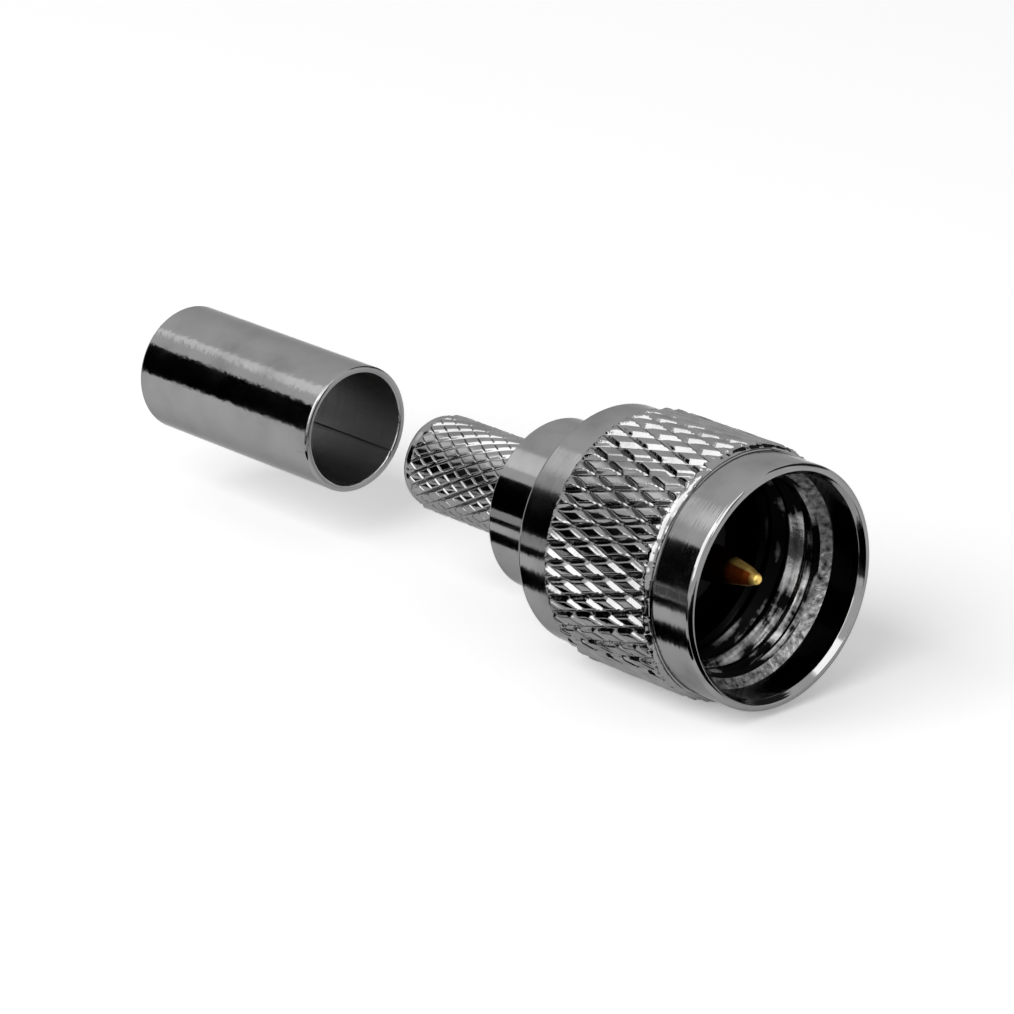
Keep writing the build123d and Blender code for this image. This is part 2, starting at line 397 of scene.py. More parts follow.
# Where the burr's back begins, which reaches unevenly into the knurl, and its greatest height
BURR_BACK = 0.2
BURR_TALLEST = 0.26
BURR_SIDES = 440
# Mean size of the burr, and its waves: their height and their number per millimetre
BURR_SIZE = 1.1
BURR_WAVES = ((0.3, 1.3), (0.2, 4.0))
BACK_WAVES = (0.7, 5.0)


def burr_ring(bm, x, radius):
    """A ragged bead around the axis, as a knurling wheel pushes it up at its edge."""
    rings = []
    for side in range(BURR_SIDES):
        angle = math.tau * side / BURR_SIDES
        spot = ring_point(x, radius, angle)
        waves = [high * noise.noise(spot * grain) for high, grain in BURR_WAVES]
        size = BURR_SIZE + sum(waves)
        reach = size + BACK_WAVES[0] * noise.noise(spot * BACK_WAVES[1])
        ring = []
        for behind, height in BURR_SECTION:
            along = behind * (size if behind < BURR_BACK else reach)
            out = radius + min(height * size, BURR_TALLEST)
            ring.append(bm.verts.new(ring_point(x - along, out, angle)))
        rings.append(ring)
    for ring, following in zip(rings, rings[1:] + rings[:1]):
        for corner in range(len(ring)):
            after = (corner + 1) % len(ring)
            bm.faces.new((ring[corner], ring[after], following[after], following[corner]))


def close_ring(bm, edges, ring):
    """Fills the flat gap between a loop of edges and a ring of vertices."""
    around = [bm.edges.get(pair) for pair in zip(ring, ring[1:] + ring[:1])]
    edges = living(edges + around, bmesh.types.BMEdge)
    bmesh.ops.triangle_fill(bm, use_beauty=True, edges=edges)


# One turn of the thread: place in the pitch, and share of the way from crest to root
THREAD_SECTION = (
    (0, 0), (0.05, 0.02), (0.1, 0.1), (0.26, 0.5), (0.42, 0.9), (0.48, 0.98),
    (0.55, 1), (0.62, 0.98), (0.68, 0.9), (0.8, 0.5), (0.92, 0.1), (0.96, 0.02),
)
# Length over which the thread fades out at its front, in pitches
THREAD_LEAD = 0.35
# Unevenness of the thread: its height in millimetres and its waves per millimetre
THREAD_WANDER = 0.015
THREAD_GRAIN = 2.3
CHAMFER_STEPS = 6


def thread_sheet(bm, nut, sides):
    """The right-handed internal thread, a helical skin that fades out in front, and the chamfer."""
    chamfer = nut.mouth_radius - nut.crest_radius
    front = nut.front - nut.mouth_depth - chamfer
    rear = front + chamfer - nut.thread_length
    turns = math.ceil(nut.thread_length / nut.thread_pitch) + 2
    columns = []
    for side in range(sides + 1):
        angle = math.tau * side / sides
        column = []
        for turns_before, (share, fall) in product(range(turns), THREAD_SECTION):
            along = turns_before + share - (angle - nut.thread_turn) / math.tau - 0.5
            x = min(max(rear + nut.thread_pitch * along, rear), front)
            lead = min((front - x) / (THREAD_LEAD * nut.thread_pitch), 1)
            radius = nut.crest_radius + fall * lead * (nut.root_radius - nut.crest_radius)
            spot = ring_point(x, radius, angle)
            radius += THREAD_WANDER * lead * noise.noise(spot * THREAD_GRAIN)
            column.append(ring_point(x, max(radius, nut.mouth_radius + rear - x), angle))
        columns.append(column)
    for left, right in zip(columns, columns[1:]):
        left_verts = [bm.verts.new(point) for point in left]
        right_verts = [bm.verts.new(point) for point in right]
        for row in range(len(left) - 1):
            corners = (*right_verts[row : row + 2], *reversed(left_verts[row : row + 2]))
            along = [corner.co.x for corner in corners]
            if max(along) - min(along) > 1e-6:
                bm.faces.new(corners)
    bmesh.ops.delete(bm, geom=[vert for vert in bm.verts if not vert.link_faces], context="VERTS")
    steps = [chamfer * step / CHAMFER_STEPS for step in range(CHAMFER_STEPS + 1)]
    lathe(bm, [(front + step, nut.crest_radius + step) for step in steps], sides)


def add_object(name, data):
    """A new object in the scene."""
    added = bpy.data.objects.new(name, data)
    bpy.context.scene.collection.objects.link(added)
    return added


# Faces that meet at more than this angle, in degrees, keep a crisp edge
CRISP_ANGLE = 35


def finished_piece(bm, name, materials, body, replaced, chosen=None):
    """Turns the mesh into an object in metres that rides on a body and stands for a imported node.

    chosen gives the number of a face's material from its place along the axis and its radius.
    """
    bmesh.ops.remove_doubles(bm, verts=bm.verts, dist=1e-4)
    bmesh.ops.dissolve_degenerate(bm, edges=bm.edges, dist=1e-5)
    bmesh.ops.recalc_face_normals(bm, faces=bm.faces)
    if chosen:
        for face in bm.faces:
            middle = face.calc_center_median()
            face.material_index = chosen(middle.x, math.hypot(middle.y, middle.z))
    bmesh.ops.scale(bm, vec=(MM, MM, MM), verts=bm.verts)
    mesh = bpy.data.meshes.new(name)
    bm.to_mesh(mesh)
    bm.free()
    mesh.shade_smooth()
    mesh.set_sharp_from_angle(angle=math.radians(CRISP_ANGLE))
    for material in materials:
        mesh.materials.append(material)
    piece = add_object(name, mesh)
    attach(piece, body)
    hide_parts(replaced)


# Sides of the turned shapes
NUT_SIDES = 176
BODY_SIDES = 132
CONTACT_SIDES = 72
FERRULE_SIDES = 192
# Radius of an edge that is only broken, and of the cup's edge, in millimetres
BROKEN_EDGE = 0.08
CUP_EDGE = 0.05
# Height over the plain bands, in millimetres, to which the knurls' ends slope down
NUT_SHOULDER = 0.1
BODY_SHOULDER = 0.02
# Share of the chamfer, from its front, that is pitted
PITTED_SHARE = 0.7
# How far from a surface, in millimetres, a face may lie and still have its finish
MARGIN = 0.01


def make_coupling_nut(settings):
    """The nut: lip, bands, knurl, mouth, thread, relief, and the bore and groove that hold it."""
    nut = in_millimetres(settings)
    knurl_front = nut.front - nut.front_band
    knurl_rear = nut.rear + nut.rear_band
    thread_front = nut.front - nut.mouth_depth
    relief_front = thread_front - nut.thread_length
    back_wall = nut.rear + nut.back_wall
    bm = bmesh.new()
    front_rings = turn_shape(
        bm,
        NUT_SIDES,
        (knurl_front, nut.band_radius),
        (nut.front, nut.band_radius, nut.lip_round),
        (nut.front, nut.mouth_radius + nut.lip_bevel, BROKEN_EDGE),
        (nut.front - nut.bevel_steepness * nut.lip_bevel, nut.mouth_radius, BROKEN_EDGE),
        (thread_front, nut.mouth_radius),
    )
    rear_rings = turn_shape(
        bm,
        NUT_SIDES,
        (relief_front, nut.mouth_radius),
        (back_wall, nut.mouth_radius),
        (back_wall, nut.bore_radius),
        (nut.groove_front, nut.bore_radius),
        (nut.groove_front, nut.groove_radius),
        (nut.groove_rear, nut.groove_radius),
        (nut.groove_rear, nut.bore_radius),
        (nut.rear, nut.bore_radius, nut.rim_round / 2),
        (nut.rear, nut.band_radius, nut.rim_round),
        (knurl_rear, nut.band_radius),
    )
    thread_sheet(bm, nut, NUT_SIDES)
    shoulder = nut.band_radius + NUT_SHOULDER
    ends = knurl_sheet(bm, nut, knurl_rear, knurl_front, shoulder, nut.burr_length, seed=0)
    burr_ring(bm, knurl_front, nut.band_radius)
    close_ring(bm, ends[0], front_rings[0])
    close_ring(bm, ends[1], rear_rings[-1])
    pitted_rear = thread_front - PITTED_SHARE * (nut.mouth_radius - nut.crest_radius)

    def chosen(x, radius):
        inside = nut.rear + nut.rim_round <= x <= thread_front
        if not inside or radius > nut.mouth_radius + MARGIN:
            return 0
        return 2 if x > pitted_rear else 1

    materials = [
        nickel_material("nickel_nut", marks=3.2),
        bore_material("nickel_nut_bore"),
        chamfer_material("nickel_chamfer"),
    ]
    finished_piece(bm, "nut_knurled", materials, "nut", "coupling_nut", chosen)


def make_body(settings):
    """The body: mating sleeve, ring groove, collar and knurled crimp barrel, bored through."""
    body = in_millimetres(settings)
    knurl_front = body.collar_rear - body.neck_length
    knurl_rear = body.rear + body.end_length
    cable_stop = body.rear + body.cable_bore_length
    bm = bmesh.new()
    rings = turn_shape(
        bm,
        BODY_SIDES,
        (knurl_rear, body.barrel_radius),
        (body.rear, body.barrel_radius, body.end_round),
        (body.rear, body.cable_bore_radius, BROKEN_EDGE),
        (cable_stop, body.cable_bore_radius),
        (cable_stop, body.cup_bore_radius),
        (-body.insulator_length, body.cup_bore_radius),
        (-body.insulator_length, body.insulator_radius),
        (body.front, body.insulator_radius),
        (body.front, body.sleeve_radius, body.collar_bevel),
        (body.groove_front, body.sleeve_radius),
        (body.groove_front, body.groove_radius),
        (body.groove_rear, body.groove_radius),
        (body.groove_rear, body.sleeve_radius),
        (body.collar_front, body.sleeve_radius),
        (body.collar_front, body.collar_radius, body.collar_bevel),
        (body.collar_rear, body.collar_radius, body.collar_bevel),
        (body.collar_rear, body.barrel_radius),
        (knurl_front, body.barrel_radius),
    )
    shoulder = body.barrel_radius + BODY_SHOULDER
    ends = knurl_sheet(bm, body, knurl_rear, knurl_front, shoulder, burr=0, seed=31)
    close_ring(bm, ends[0], rings[-1])
    close_ring(bm, ends[1], rings[0])

    def chosen(x, radius):
        bored = radius < body.cable_bore_radius + MARGIN
        return 1 if bored or x > body.collar_front + MARGIN else 0

    materials = [nickel_material("nickel_body", marks=1.2), bore_material("nickel_body_bore")]
    finished_piece(bm, "body_turned", materials, "body", "plug_body", chosen)


def make_contact(settings):
    """The contact: pointed pin, shank, stop and the cup for the conductor."""
    contact = in_millimetres(settings)
    cup_floor = contact.rear + contact.cup_depth
    bm = bmesh.new()
    turn_shape(
        bm,
        CONTACT_SIDES,
        (contact.tip, 0),
        (contact.tip, contact.tip_radius, contact.tip_round),
        (contact.tip - contact.nose_length, contact.nose_radius, contact.nose_round),
        (contact.pin_straight, contact.pin_radius, contact.root_round),
        (0, contact.pin_radius),
        (0, contact.shank_radius),
        (contact.stop_front, contact.shank_radius),
        (contact.stop_front, contact.stop_radius),
        (contact.stop_rear, contact.stop_radius),
        (contact.stop_rear, contact.shank_radius),
        (contact.rear, contact.shank_radius, BROKEN_EDGE),
        (contact.rear, contact.cup_radius, CUP_EDGE),
        (cup_floor, contact.cup_radius),
        (cup_floor, 0),
    )
    gold = gold_material("gold_contact")
    finished_piece(bm, "contact_gilt", [gold], "body", "centre_contact")


def make_ferrule(settings):
    """The ferrule: a thin drawn tube with softened rims and a draw line inside."""
    ferrule = in_millimetres(settings)
    inner_radius = ferrule.outer_radius - ferrule.wall
    middle_radius = ferrule.outer_radius - ferrule.wall / 2
    bm = bmesh.new()
    turn_shape(
        bm,
        FERRULE_SIDES,
        (ferrule.rear, middle_radius),
        (ferrule.rear, ferrule.outer_radius, ferrule.edge_round),
        (ferrule.front, ferrule.outer_radius, ferrule.edge_round),
        (ferrule.front, inner_radius, ferrule.edge_round),
        (ferrule.rear, inner_radius, ferrule.edge_round),
        (ferrule.rear, middle_radius),
    )
    seam_reach = ferrule.seam_width / inner_radius
    for vert in bm.verts:
        radius = math.hypot(vert.co.y, vert.co.z)
        angle = math.atan2(vert.co.y, vert.co.z)
        away = abs(math.remainder(angle - ferrule.seam_turn, math.tau))
        if radius < inner_radius + ferrule.edge_round / 2 and away < seam_reach:
            left = 1 - ferrule.seam_depth * (1 - away / seam_reach) / radius
            vert.co *= Vector((1, left, left))

    def chosen(x, radius):
        return 1 if radius < inner_radius + MARGIN else 0

    materials = [
        nickel_material("nickel_ferrule", marks=0.12, pits=0.8, depth=1.5e-5),
        bore_material("nickel_ferrule_bore", tube=True),
    ]
    finished_piece(bm, "ferrule_drawn", materials, "ferrule", "crimp_ferrule", chosen)


# Node helpers. A value given to them is a number, or the output of another node.


def feed(tree, value, socket):
    """Links a socket to the output that is given, or sets it to the value."""
    if isinstance(value, bpy.types.NodeSocket):
        tree.links.new(value, socket)
    else:
        socket.default_value = value


def math_node(tree, operation, first, second, clamp=False):
    """The output of a math node between two values."""
    node = tree.nodes.new("ShaderNodeMath")
    node.operation = operation
    node.use_clamp = clamp
    feed(tree, first, node.inputs[0])
    feed(tree, second, node.inputs[1])
    return node.outputs[0]


def above(tree, value, threshold, steepness):
    """A mask of where a value is above a threshold. It rises that steeply from 0 to 1."""
    over = math_node(tree, "SUBTRACT", value, threshold)
    return math_node(tree, "MULTIPLY", over, steepness, clamp=True)


def ranged(tree, value, low, high):
    """A value from 0 to 1 brought to a range."""
    node = tree.nodes.new("ShaderNodeMapRange")
    node.inputs["To Min"].default_value = low
    node.inputs["To Max"].default_value = high
    tree.links.new(value, node.inputs["Value"])
    return node.outputs["Result"]


def mixed_colour(tree, mask, first, second):
    """A colour between two, chosen by a mask. The first can be another node's output."""
    node = tree.nodes.new("ShaderNodeMix")
    node.data_type = "RGBA"
    if not isinstance(first, bpy.types.NodeSocket):
        first = (*first, 1)
    feed(tree, first, node.inputs["A"])
    node.inputs["B"].default_value = (*second, 1)
    tree.links.new(mask, node.inputs["Factor"])
    return node.outputs["Result"]


def own_place(tree):
    """The node with a point's X, Y and Z in the piece's own space."""
    coordinates = tree.nodes.new("ShaderNodeTexCoord")
    parts = tree.nodes.new("ShaderNodeSeparateXYZ")
    tree.links.new(coordinates.outputs["Object"], parts.inputs["Vector"])
    return parts


def along_axis(tree, start, end):
    """A mask that goes from 0 to 1 between two places along the axis."""
    mask = tree.nodes.new("ShaderNodeMapRange")
    tree.links.new(own_place(tree).outputs["X"], mask.inputs["Value"])
    feed(tree, start, mask.inputs["From Min"])
    feed(tree, end, mask.inputs["From Max"])
    return mask.outputs["Result"]


def stretched_noise(tree, scale, detail, stretch=(1, 1, 1)):
    """Noise in the piece's own space. A stretch under 1 draws it out along that axis."""
    coordinates = tree.nodes.new("ShaderNodeTexCoord")
    mapping = tree.nodes.new("ShaderNodeMapping")
    mapping.inputs["Scale"].default_value = stretch
    texture = tree.nodes.new("ShaderNodeTexNoise")
    texture.inputs["Detail"].default_value = detail
    tree.links.new(coordinates.outputs["Object"], mapping.inputs["Vector"])
    tree.links.new(mapping.outputs["Vector"], texture.inputs["Vector"])
    feed(tree, scale, texture.inputs["Scale"])
    return texture.outputs["Fac"]


# Shared effects, as node groups. Each function fills one, and gives the values that it puts out.


def turning_marks(group, rings):
    """Fine rings about the axis, as a cutting tool leaves them."""
    fine = stretched_noise(group, rings, detail=3, stretch=(1, 0.03, 0.03))
    coarse = stretched_noise(group, 1800, detail=2, stretch=(1, 0.05, 0.05))
    return [math_node(group, "ADD", fine, math_node(group, "MULTIPLY", coarse, 0.8))]


def plating_pits(group, scale, amount):
    """Small pits and swellings in the plating, and the dull patches around them."""
    lumps = stretched_noise(group, scale, detail=5)
    patches = math_node(group, "POWER", stretched_noise(group, 420, detail=4), 3.0)
    dulling = math_node(group, "MULTIPLY", amount, 3.0)
    return [
        math_node(group, "MULTIPLY", lumps, amount),
        math_node(group, "MULTIPLY", patches, dulling, clamp=True),
    ]


def bore_streaks(group, dark_from, light_from):
    """Painted reflections as light, feathered streaks along the turns inside a bore, which end
    deeper in.
    """
    feathers = stretched_noise(group, 5200, detail=2, stretch=(0.3, 1, 1))
    turns = stretched_noise(group, 4200, detail=3, stretch=(1, 0.08, 0.08))
    patches = stretched_noise(group, 620, detail=1)
    total = 0.0
    for layer, weight in ((feathers, 0.3), (turns, 1.1), (patches, 1.6)):
        total = math_node(group, "ADD", total, math_node(group, "MULTIPLY", layer, weight))
    streaks = above(group, total, threshold=1.54, steepness=2.6)
    reach = along_axis(group, dark_from, light_from)
    return [feathers, math_node(group, "MULTIPLY", streaks, reach)]


# What fills each group, its inputs with their usual values, and its outputs
EFFECTS = {
    "turning_marks": (turning_marks, {"Rings per metre": 9000.0}, ("Height",)),
    "plating_pits": (plating_pits, {"Scale": 2600.0, "Amount": 1.0}, ("Height", "Dull")),
    "bore_streaks": (
        bore_streaks,
        {"Dark from": 0.2 * MM, "Light from": 2.2 * MM},
        ("Height", "Light"),
    ),
}


def effect_group(name):
    """The node group of an effect, which is made when it is first asked for."""
    if name not in bpy.data.node_groups:
        fill, inputs, outputs = EFFECTS[name]
        group = bpy.data.node_groups.new(name, "ShaderNodeTree")
        add_socket = group.interface.new_socket
        for label, usual in inputs.items():
            socket = add_socket(label, in_out="INPUT", socket_type="NodeSocketFloat")
            socket.default_value = usual
        for label in outputs:
            add_socket(label, in_out="OUTPUT", socket_type="NodeSocketFloat")
        given = group.nodes.new("NodeGroupInput")
        result = group.nodes.new("NodeGroupOutput")
        values = fill(group, *[given.outputs[label] for label in inputs])
        for label, value in zip(outputs, values):
            group.links.new(value, result.inputs[label])
    return bpy.data.node_groups[name]


def place_effect(tree, name, **values):
    """The outputs of an effect that is placed in a node tree, with some input values set."""
    node = tree.nodes.new("ShaderNodeGroup")
    node.node_tree = effect_group(name)
    for label, value in values.items():
        node.inputs[label.replace("_", " ")].default_value = value
    return node.outputs


# Materials

# The painted reflections, light streaks inside the ferrule, end between these places along the
# axis, in metres
TUBE_STREAKS = (-20 * MM, -19 * MM)


def new_material(name, metallic=0.0):
    """A material with its node tree and its Principled shader."""
    material = bpy.data.materials.new(name)
    material.use_nodes = True
    shader = material.node_tree.nodes["Principled BSDF"]
    shader.inputs["Metallic"].default_value = metallic
    return material, material.node_tree, shader


def coat(tree, shader, base, mask, height, rough, depth):
    """Gives the shader its base colour, its roughness out of a mask and in it, and its relief."""
    tree.links.new(base, shader.inputs["Base Color"])
    tree.links.new(ranged(tree, mask, *rough), shader.inputs["Roughness"])
    relief = tree.nodes.new("ShaderNodeBump")
    relief.inputs["Distance"].default_value = depth
    tree.links.new(height, relief.inputs["Height"])
    tree.links.new(relief.outputs["Normal"], shader.inputs["Normal"])


def nickel_material(name, marks, pits=1.0, depth=2.4e-6):
    """Bright nickel plate with turning marks, pits and dull patches, and how strong they are."""
    finish = bpy.context.scene.plug_finish
    material, tree, shader = new_material(name, metallic=1)
    turning = place_effect(tree, "turning_marks")
    pitting = place_effect(tree, "plating_pits", Amount=pits)
    rings = math_node(tree, "MULTIPLY", turning["Height"], marks)
    height = math_node(tree, "ADD", rings, pitting["Height"])
    plate = mixed_colour(tree, pitting["Dull"], finish.nickel, finish.tarnish)
    coat(tree, shader, plate, pitting["Dull"], height, rough=(0.06, 0.16), depth=depth)
    shader.inputs["Specular Tint"].default_value = (0.55, 0.55, 0.55, 1)
    return material


def bore_material(name, tube=False):
    """Nickel plate inside a bore, darkened as painted shade, with light streaks as painted
    reflections that fade deeper in, or inside the tube.
    """
    finish = bpy.context.scene.plug_finish
    dark, light = finish.shade_and_speck_black, finish.bore_reflection_grey
    dark_from, light_from = finish.streaks_dark, finish.streaks_light
    if tube:
        dark, light = finish.tube_dark, finish.tube_light
        dark_from, light_from = TUBE_STREAKS
    material, tree, shader = new_material(name, metallic=1)
    turning = place_effect(tree, "turning_marks", Rings_per_metre=6000.0)
    streaks = place_effect(tree, "bore_streaks", Dark_from=dark_from, Light_from=light_from)
    height = math_node(tree, "ADD", turning["Height"], streaks["Height"])
    # Painted shade with painted reflections: the plate in the bore is dark, with light streaks that
    # fade out deeper in.
    plate = mixed_colour(tree, streaks["Light"], dark, light)
    coat(tree, shader, plate, streaks["Light"], height, rough=(0.34, 0.2), depth=7e-6)
    return material


def chamfer_material(name):
    """The pitted grey chamfer between the mouth and the thread."""
    finish = bpy.context.scene.plug_finish
    material, tree, shader = new_material(name, metallic=1)
    pitting = place_effect(tree, "plating_pits", Scale=5500.0, Amount=1.5)
    specks = stretched_noise(tree, 3600, detail=4)
    dark = above(tree, specks, threshold=0.36, steepness=2.6)
    speckled = mixed_colour(tree, dark, finish.nickel, finish.shade_and_speck_black)
    dull, height = pitting["Dull"], pitting["Height"]
    coat(tree, shader, speckled, dull, height, rough=(0.3, 0.45), depth=4e-5)
    return material


def gold_material(name):
    """Gold plate with a brown painted reflection on both sides of the pin, and a root darkened as
    painted shade.
    """
    finish = bpy.context.scene.plug_finish
    material, tree, shader = new_material(name, metallic=1)
    pitting = place_effect(tree, "plating_pits", Scale=3600.0)
    turning = place_effect(tree, "turning_marks", Rings_per_metre=14000.0)
    height = math_node(tree, "ADD", turning["Height"], pitting["Height"])
    # Painted reflection: behind the nose both sides of the pin turn brown, a dark reflection
    # painted into the gold, while its top and bottom stay gold.
    spot = own_place(tree)
    across = math_node(tree, "POWER", spot.outputs["Y"], 2.0)
    upright = math_node(tree, "POWER", spot.outputs["Z"], 2.0)
    sideways = math_node(tree, "DIVIDE", across, math_node(tree, "ADD", across, upright))
    sides = above(tree, sideways, threshold=0.17, steepness=4.0)
    reach = along_axis(tree, finish.reflection_front, finish.reflection_rear)
    reflection = math_node(tree, "MULTIPLY", reach, sides)
    with_reflection = mixed_colour(tree, reflection, finish.gold, finish.brown)
    # Painted shade: further back, the pin's root fades to near black.
    root_shade = along_axis(tree, finish.root_shade_front, finish.root_shade_rear)
    with_root_shade = mixed_colour(tree, root_shade, with_reflection, finish.root_shade)
    coat(tree, shader, with_root_shade, pitting["Dull"], height, rough=(0.38, 0.5), depth=1.6e-6)
    return material


def pitted_material(name, colour, patches, metallic, scale, depth, rough):
    """A pitted surface in one colour, with dull patches that are lighter or darker."""
    material, tree, shader = new_material(name, metallic)
    pitting = place_effect(tree, "plating_pits", Scale=scale)
    other = [patches * channel for channel in colour]
    mixed = mixed_colour(tree, pitting["Dull"], colour, other)
    coat(tree, shader, mixed, pitting["Dull"], pitting["Height"], rough, depth)
    return material, shader


def dress_inner_parts():
    """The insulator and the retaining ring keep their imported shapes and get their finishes."""
    finish = bpy.context.scene.plug_finish
    looks = {"patches": 2.5, "metallic": 0, "scale": 5200.0, "depth": 4e-6, "rough": (0.45, 0.65)}
    plastic, shader = pitted_material("plastic_insulator", finish.plastic, **looks)
    shader.inputs["Specular IOR Level"].default_value = 0.15
    looks = {"patches": 0.5, "metallic": 1, "scale": 3000.0, "depth": 3e-6, "rough": (0.25, 0.45)}
    bronze, shader = pitted_material("bronze_ring", finish.bronze, **looks)
    for node, material in (("insulator", plastic), ("retaining_ring", bronze)):
        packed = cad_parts[node]
        packed.data.materials.clear()
        packed.data.materials.append(material)


# Stage

# Cards that only reflections show, with their brightness. Those that lie just above the floor
# have corners of X and Y in millimetres, those on the dome of a bearing and a rise in degrees.
FLOOR_GAP = 0.03
FLOOR_CARDS = {
    "card_front": (((9, -30), (45, -30), (45, 3), (9, 3)), 0.0),
    "card_near": (((8, -7.4), (-28, -7.4), (-28, -11.3), (8, -11.3)), 0.0),
    "card_middle": (((8, -18.4), (-34, -15.6), (-34, -22.3), (8, -31)), 0.0),
    "card_strip": (((-20, -26.5), (-34, -22.3), (-70, -52), (-58, -66)), 0.65),
    "card_dim": (((8, -31.2), (-19.8, -26.7), (-58, -66.2), (8, -69)), 0.15),
}
STANDING_CARD = ((-86, -31.4, -5.6), (-46, -83, -5.6), (-46, -83, 56), (-86, -31.4, 31))
DOME_RADIUS = 300
DOME_CARDS = {
    "card_light": (((190, 34), (214, 34), (214, 47), (190, 47)), 1.65),
    "card_rim": (((298, 50), (352, 14), (352, 66), (298, 66)), 3.2),
    "card_edge": (((263, 10), (305, 10), (305, 44), (263, 46)), 3.2),
    "card_left": (((237, 20), (262, 20), (262, 64), (204, 64)), 3.4),
    "card_flash": (((352, 51), (7, 51), (7, 68), (352, 68)), 3.2),
    "card_front_high": (((-13, 11), (14, 11), (14, 50), (-13, 50)), 0.3),
    "card_behind": (((58, 10), (104, 10), (104, 60), (58, 60)), 0.03),
}


def direction(bearing, rise):
    """The unit vector at a bearing about the upright axis and a rise over the horizon."""
    level = math.cos(rise)
    return Vector((level * math.cos(bearing), level * math.sin(bearing), math.sin(rise)))


def make_sheet(name, corners, material):
    """A flat four-cornered piece of the stage, with its corners in metres."""
    mesh = bpy.data.meshes.new(name)
    mesh.from_pydata(corners, [], [(0, 1, 2, 3)])
    mesh.materials.append(material)
    sheet = add_object(name, mesh)
    return sheet


def make_card(name, corners, brightness):
    """A studio card that is seen only in reflections, with its corners in millimetres."""
    material, tree, shader = new_material(name)
    shader.inputs["Base Color"].default_value = (0, 0, 0, 1)
    shader.inputs["Specular IOR Level"].default_value = 0
    shader.inputs["Emission Color"].default_value = (1, 1, 1, 1)
    shader.inputs["Emission Strength"].default_value = brightness
    card = make_sheet(name, [Vector(corner) * MM for corner in corners], material)
    card.visible_camera = False
    card.visible_diffuse = False
    card.visible_shadow = False


def make_cards():
    """The cards on the floor, the standing one, and those on the dome."""
    height = nut_low.z + FLOOR_GAP
    for name, (corners, brightness) in FLOOR_CARDS.items():
        make_card(name, [(x, y, height) for x, y in corners], brightness)
    make_card("card_standing", STANDING_CARD, 0.0)
    for name, (directions, brightness) in DOME_CARDS.items():
        corners = [direction(*map(math.radians, pair)) * DOME_RADIUS for pair in directions]
        make_card(name, corners, brightness)


def seen_directly(tree):
    """One for rays from the camera, reflections and transmission, and nothing for the rest."""
    path = tree.nodes.new("ShaderNodeLightPath")
    seen = path.outputs["Is Camera Ray"]
    for others in ("Is Transmission Ray", "Is Glossy Ray"):
        seen = math_node(tree, "MAXIMUM", seen, path.outputs[others])
    return seen


def make_floor(settings):
    """The white floor, with a glow that only the camera, reflections and transmission see."""
    material, tree, shader = new_material("paper")
    shader.inputs["Base Color"].default_value = (*settings.floor_colour, 1)
    shader.inputs["Roughness"].default_value = 1
    shader.inputs["Specular IOR Level"].default_value = 0
    glow = tree.nodes.new("ShaderNodeEmission")
    strength = math_node(tree, "MULTIPLY", seen_directly(tree), settings.floor_glow)
    tree.links.new(strength, glow.inputs["Strength"])
    both = tree.nodes.new("ShaderNodeAddShader")
    tree.links.new(shader.outputs["BSDF"], both.inputs[0])
    tree.links.new(glow.outputs["Emission"], both.inputs[1])
    tree.links.new(both.outputs["Shader"], tree.nodes["Material Output"].inputs["Surface"])
    half = settings.floor_size
    corners = [(-half, -half), (half, -half), (half, half), (-half, half)]
    make_sheet("floor", [(x, y, nut_low.z * MM) for x, y in corners], material)


def make_sky(settings):
    """White light from all around, which is seen brighter than it lights."""
    world = bpy.data.worlds.new("studio")
    bpy.context.scene.world = world
    world.use_nodes = True
    tree = world.node_tree
    backing = tree.nodes["Background"]
    backing.inputs["Color"].default_value = (1, 1, 1, 1)
    strength = ranged(tree, seen_directly(tree), settings.sky, 1.0)
    tree.links.new(strength, backing.inputs["Strength"])


def make_soft_box(settings):
    """The soft box, turned towards the plug."""
    lamp = bpy.data.lights.new("soft_box", "AREA")
    lamp.shape = "RECTANGLE"
    lamp.size = settings.key_width
    lamp.size_y = settings.key_height
    lamp.energy = settings.key_power
    soft_box = add_object("soft_box", lamp)
    toward = direction(settings.key_bearing, settings.key_rise)
    soft_box.location = toward * settings.key_distance
    soft_box.rotation_euler = (-toward).to_track_quat("-Z", "Y").to_euler()


def make_camera(settings):
    """The camera, where the photograph was taken from."""
    lens = bpy.data.cameras.new("camera")
    lens.lens = settings.lens
    lens.sensor_width = 36
    lens.clip_start = 0.005
    lens.clip_end = 20
    camera = add_object("camera", lens)
    camera.location = settings.camera_place
    ahead = direction(settings.heading, -settings.tilt)
    camera.rotation_euler = ahead.to_track_quat("-Z", "Y").to_euler()
    bpy.context.scene.camera = camera


def make_stage(settings):
    """The floor, the sky, the soft box, the camera and the cards."""
    for make in (make_floor, make_sky, make_soft_box, make_camera):
        make(settings)
    make_cards()
    bpy.context.scene.view_settings.view_transform = "Standard"


class PLUG_OT_coupling_nut(bpy.types.Operator):
    """Build the knurled coupling nut with its lip and thread"""

    bl_idname = "plug.coupling_nut"
    bl_label = "Coupling Nut"

    def execute(self, context):
        make_coupling_nut(context.scene.plug_nut)
        return {"FINISHED"}


class PLUG_OT_body(bpy.types.Operator):
    """Build the turned body with its collar and knurled barrel"""

    bl_idname = "plug.body"
    bl_label = "Body"

    def execute(self, context):
        make_body(context.scene.plug_body)
        return {"FINISHED"}


class PLUG_OT_contact(bpy.types.Operator):
    """Build the gilt centre contact"""

    bl_idname = "plug.contact"
    bl_label = "Centre Contact"

    def execute(self, context):
        make_contact(context.scene.plug_contact)
        return {"FINISHED"}


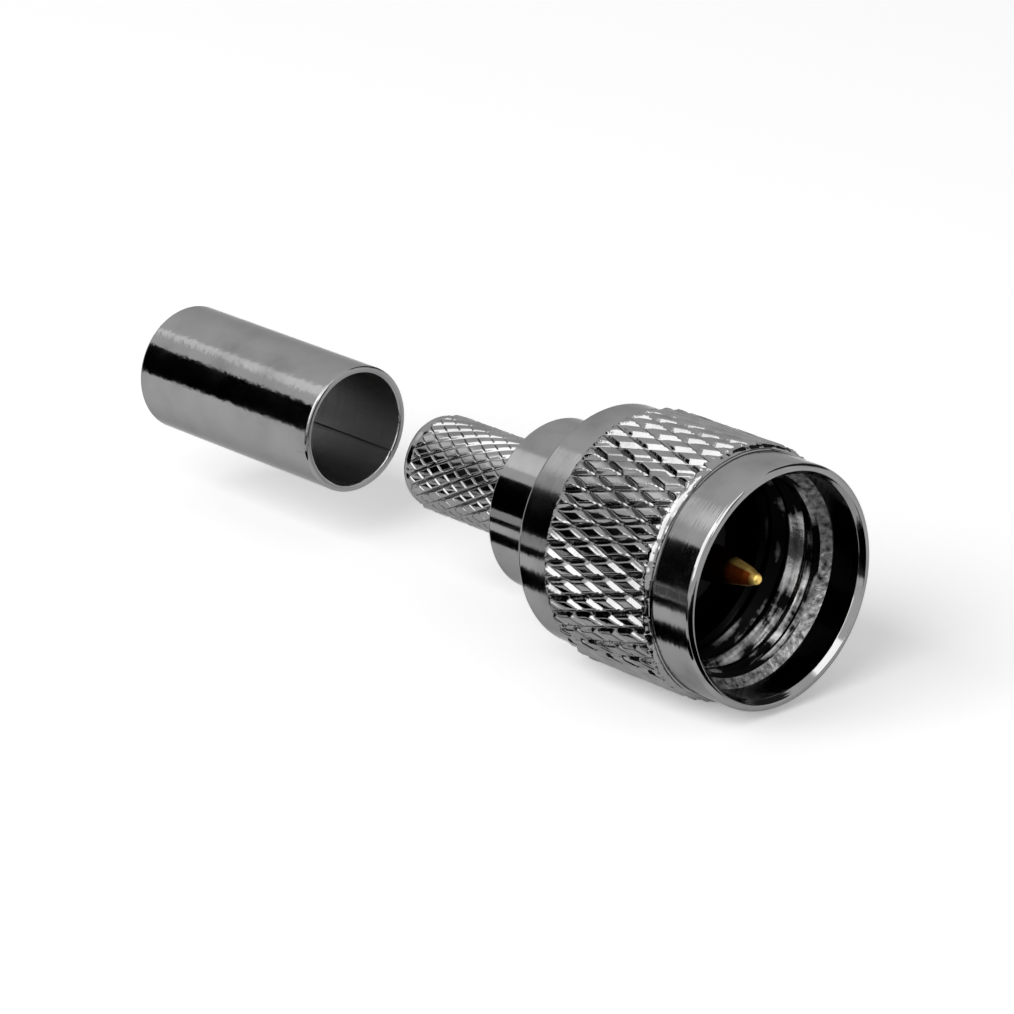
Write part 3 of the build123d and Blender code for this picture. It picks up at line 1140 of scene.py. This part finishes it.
class PLUG_OT_inner_parts(bpy.types.Operator):
    """Finish the insulator and the retaining ring"""

    bl_idname = "plug.inner_parts"
    bl_label = "Insulator and Ring"

    def execute(self, context):
        dress_inner_parts()
        return {"FINISHED"}


class PLUG_OT_ferrule(bpy.types.Operator):
    """Build the drawn crimp ferrule"""

    bl_idname = "plug.ferrule"
    bl_label = "Crimp Ferrule"

    def execute(self, context):
        make_ferrule(context.scene.plug_ferrule)
        return {"FINISHED"}


class PLUG_OT_stage(bpy.types.Operator):
    """Set up the floor, light and camera"""

    bl_idname = "plug.stage"
    bl_label = "Stage"

    def execute(self, context):
        make_stage(context.scene.plug_stage)
        return {"FINISHED"}


class PLUG_PT_sidebar(bpy.types.Panel):
    """Lists the pieces of the plug and its stage"""

    bl_idname = "PLUG_PT_sidebar"
    bl_label = "Crimp Plug"
    bl_space_type = "VIEW_3D"
    bl_region_type = "UI"
    bl_category = "Crimp Plug"

    def draw(self, context):
        for operator in OPERATORS:
            self.layout.operator(operator.bl_idname)
        for name in SETTINGS:
            box = self.layout.box()
            group = getattr(context.scene, name)
            for prop in group.bl_rna.properties:
                if prop.identifier not in ("rna_type", "name"):
                    box.prop(group, prop.identifier)


SETTINGS = {
    "plug_nut": NutSettings,
    "plug_body": BodySettings,
    "plug_contact": ContactSettings,
    "plug_ferrule": FerruleSettings,
    "plug_finish": FinishSettings,
    "plug_stage": StageSettings,
}
OPERATORS = (
    PLUG_OT_stage,
    PLUG_OT_coupling_nut,
    PLUG_OT_body,
    PLUG_OT_contact,
    PLUG_OT_inner_parts,
    PLUG_OT_ferrule,
)
CLASSES = (*SETTINGS.values(), *OPERATORS, PLUG_PT_sidebar)


def register():
    for added in CLASSES:
        bpy.utils.register_class(added)
    for name, settings in SETTINGS.items():
        setattr(bpy.types.Scene, name, PointerProperty(type=settings))


def unregister():
    for name in SETTINGS:
        delattr(bpy.types.Scene, name)
    for added in reversed(CLASSES):
        bpy.utils.unregister_class(added)


def main():
    """Builds the pieces and the stage."""
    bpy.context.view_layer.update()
    register()
    bpy.ops.plug.stage()
    bpy.ops.plug.coupling_nut()
    bpy.ops.plug.body()
    bpy.ops.plug.contact()
    bpy.ops.plug.inner_parts()
    bpy.ops.plug.ferrule()


if __name__ == "__main__":
    main()
